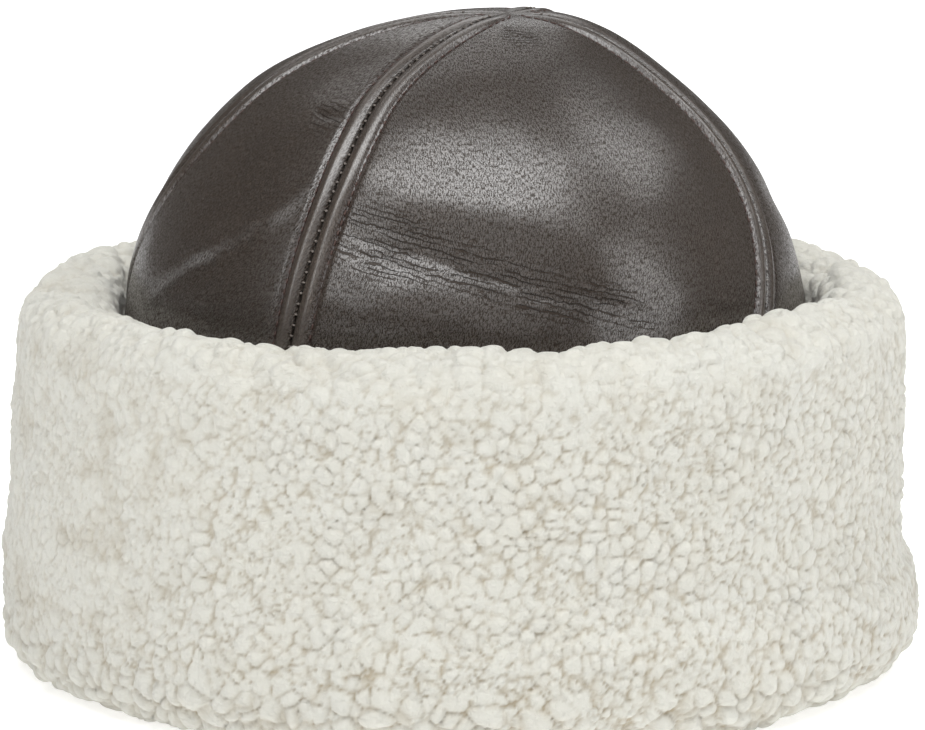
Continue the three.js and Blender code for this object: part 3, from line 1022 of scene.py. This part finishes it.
def fleece_material(name, colours):
    """Curled wool: pale tips, warm beige with painted shade between the curls, and fine fibres in the bump.
    """
    recipe = Recipe(name)
    place = recipe.add("ShaderNodeTexCoord").outputs["Object"]
    root_and_shade = recipe.attribute("root_and_shade")
    softness = recipe.attribute("softness")
    uneven = recipe.noise(place, 700.0, 3.0, 0.6)
    warm = recipe.noise(place, 60.0, 3.0, 0.6)
    shaded = recipe.math("MULTIPLY_ADD", uneven, 0.22)
    recipe.feed(shaded.node.inputs[2], recipe.math("SUBTRACT", root_and_shade, 0.13))
    share = recipe.span(shaded, 0.0, 0.95)
    warmth = recipe.span(warm, 0.35, 0.75, 0.0, 0.35)
    tips = recipe.blend(warmth, colour(colours.fleece), colour(WARM_TIPS))
    # Painted shade: deep between the curls, the colour goes to the wool's warm, darker root colour.
    base = recipe.blend(share, tips, colour(colours.fleece_root_and_shade))
    recipe.feed(recipe.shader.inputs["Base Color"], base)
    recipe.shader.inputs["Roughness"].default_value = 0.95
    recipe.shader.inputs["Specular IOR Level"].default_value = 0.15
    recipe.shader.inputs["Sheen Weight"].default_value = 0.25
    recipe.shader.inputs["Sheen Roughness"].default_value = 0.6
    bent = recipe.add("ShaderNodeTexNoise", Vector=place, Scale=300.0, Detail=1.0).outputs["Color"]
    swirl = recipe.add("ShaderNodeVectorMath", {"operation": "MULTIPLY_ADD"})
    recipe.feed(swirl.inputs[0], bent)
    recipe.feed(swirl.inputs[1], (0.004, 0.004, 0.004))
    recipe.feed(swirl.inputs[2], place)
    fibres = recipe.noise(swirl.outputs[0], 1500.0, 4.0, 0.72)
    tufts = recipe.add(
        "ShaderNodeTexVoronoi", {"feature": "SMOOTH_F1"}, Vector=swirl.outputs[0], Scale=520.0,
        Smoothness=0.4,
    ).outputs["Distance"]
    tuft_height = recipe.math("SUBTRACT", 1.0, tufts)
    normal = recipe.bump(tuft_height, 0.0007, recipe.span(softness, 0.0, 1.0, 0.5, 0.42))
    normal = recipe.bump(fibres, 0.00045, 0.9, normal)
    recipe.feed(recipe.shader.inputs["Normal"], normal)
    return recipe.material


# Studio

def area_light(name, place, aim, size, power):
    data = bpy.data.lights.new(name, "AREA")
    data.shape = "RECTANGLE"
    data.size, data.size_y = size
    data.energy = power
    lamp = bpy.data.objects.new(name, data)
    bpy.context.scene.collection.objects.link(lamp)
    lamp.location = place
    lamp.rotation_euler = (Vector(aim) - Vector(place)).to_track_quat("-Z", "Y").to_euler()


class HAT_OT_studio(bpy.types.Operator):
    """Sets the hat on a pale floor under soft light, seen from the photograph's angle"""

    bl_idname = "hat.studio"
    bl_label = "Studio"

    def execute(self, context):
        self.make_floor(context.scene.hat_colours)
        self.make_lights(context.scene)
        self.make_camera(context.scene)
        return {"FINISHED"}

    def make_floor(self, colours):
        sheet = bmesh.new()
        bmesh.ops.create_grid(sheet, x_segments=2, y_segments=2, size=12)
        mesh = bpy.data.meshes.new("studio_floor")
        sheet.to_mesh(mesh)
        sheet.free()
        floor = new_piece("studio_floor", mesh)
        recipe = Recipe("studio_floor")
        recipe.shader.inputs["Base Color"].default_value = colour(colours.floor)
        recipe.shader.inputs["Roughness"].default_value = 0.9
        recipe.shader.inputs["Specular IOR Level"].default_value = 0.0
        recipe.shader.inputs["Emission Color"].default_value = (1, 1, 1, 1)
        place = recipe.add("ShaderNodeTexCoord").outputs["Object"]
        away = recipe.add("ShaderNodeVectorMath", {"operation": "LENGTH"}, Vector=place).outputs["Value"]
        glow = recipe.span(away, *FLOOR_GLOW_REACH, FLOOR_GLOW_NEAR, FLOOR_GLOW_FAR)
        recipe.feed(recipe.shader.inputs["Emission Strength"], glow)
        mesh.materials.append(recipe.material)

    def make_lights(self, scene):
        for light in STUDIO_LIGHTS:
            area_light(light["name"], light["place"], LIGHT_AIM, light["size"], light["power"])
        world = bpy.data.worlds.new("studio")
        scene.world = world
        world.use_nodes = True
        background = world.node_tree.nodes["Background"]
        background.inputs["Color"].default_value = (1, 1, 1, 1)
        background.inputs["Strength"].default_value = ROOM_LIGHT
        scene.view_settings.view_transform = "Standard"

    def make_camera(self, scene):
        data = bpy.data.cameras.new("camera")
        data.sensor_width = 36
        data.lens = data.sensor_width * CAMERA_DISTANCE / SHOWN_WIDTH
        back = Vector((0, -math.cos(CAMERA_TILT), math.sin(CAMERA_TILT)))
        camera = bpy.data.objects.new("camera", data)
        scene.collection.objects.link(camera)
        camera.location = Vector(CAMERA_AIM) + back * CAMERA_DISTANCE
        camera.rotation_euler = (-back).to_track_quat("-Z", "Y").to_euler()
        scene.camera = camera


class HAT_PT_panel(bpy.types.Panel):
    bl_idname = "HAT_PT_panel"
    bl_label = "Shearling hat"
    bl_space_type = "VIEW_3D"
    bl_region_type = "UI"
    bl_category = "Hat"

    def draw(self, context):
        for group in (context.scene.hat_sizes, context.scene.fleece_sizes, context.scene.hat_colours):
            box = self.layout.box()
            for name in group.__annotations__:
                box.prop(group, name)
        for operator in OPERATORS:
            self.layout.operator(operator.bl_idname)


OPERATORS = (
    HAT_OT_leather_gores,
    HAT_OT_top_stitches,
    HAT_OT_crown_wool,
    HAT_OT_cuff_fleece,
    HAT_OT_studio,
)
CLASSES = (HatSizes, FleeceSizes, HatColours, *OPERATORS, HAT_PT_panel)


def register():
    for part in CLASSES:
        bpy.utils.register_class(part)
    bpy.types.Scene.hat_sizes = bpy.props.PointerProperty(type=HatSizes)
    bpy.types.Scene.fleece_sizes = bpy.props.PointerProperty(type=FleeceSizes)
    bpy.types.Scene.hat_colours = bpy.props.PointerProperty(type=HatColours)


def unregister():
    del bpy.types.Scene.hat_colours
    del bpy.types.Scene.fleece_sizes
    del bpy.types.Scene.hat_sizes
    for part in reversed(CLASSES):
        bpy.utils.unregister_class(part)


def main():
    register()
    bpy.ops.hat.leather_gores()
    bpy.ops.hat.top_stitches()
    bpy.ops.hat.crown_wool()
    bpy.ops.hat.cuff_fleece()
    bpy.ops.hat.studio()


if __name__ == "__main__":
    main()
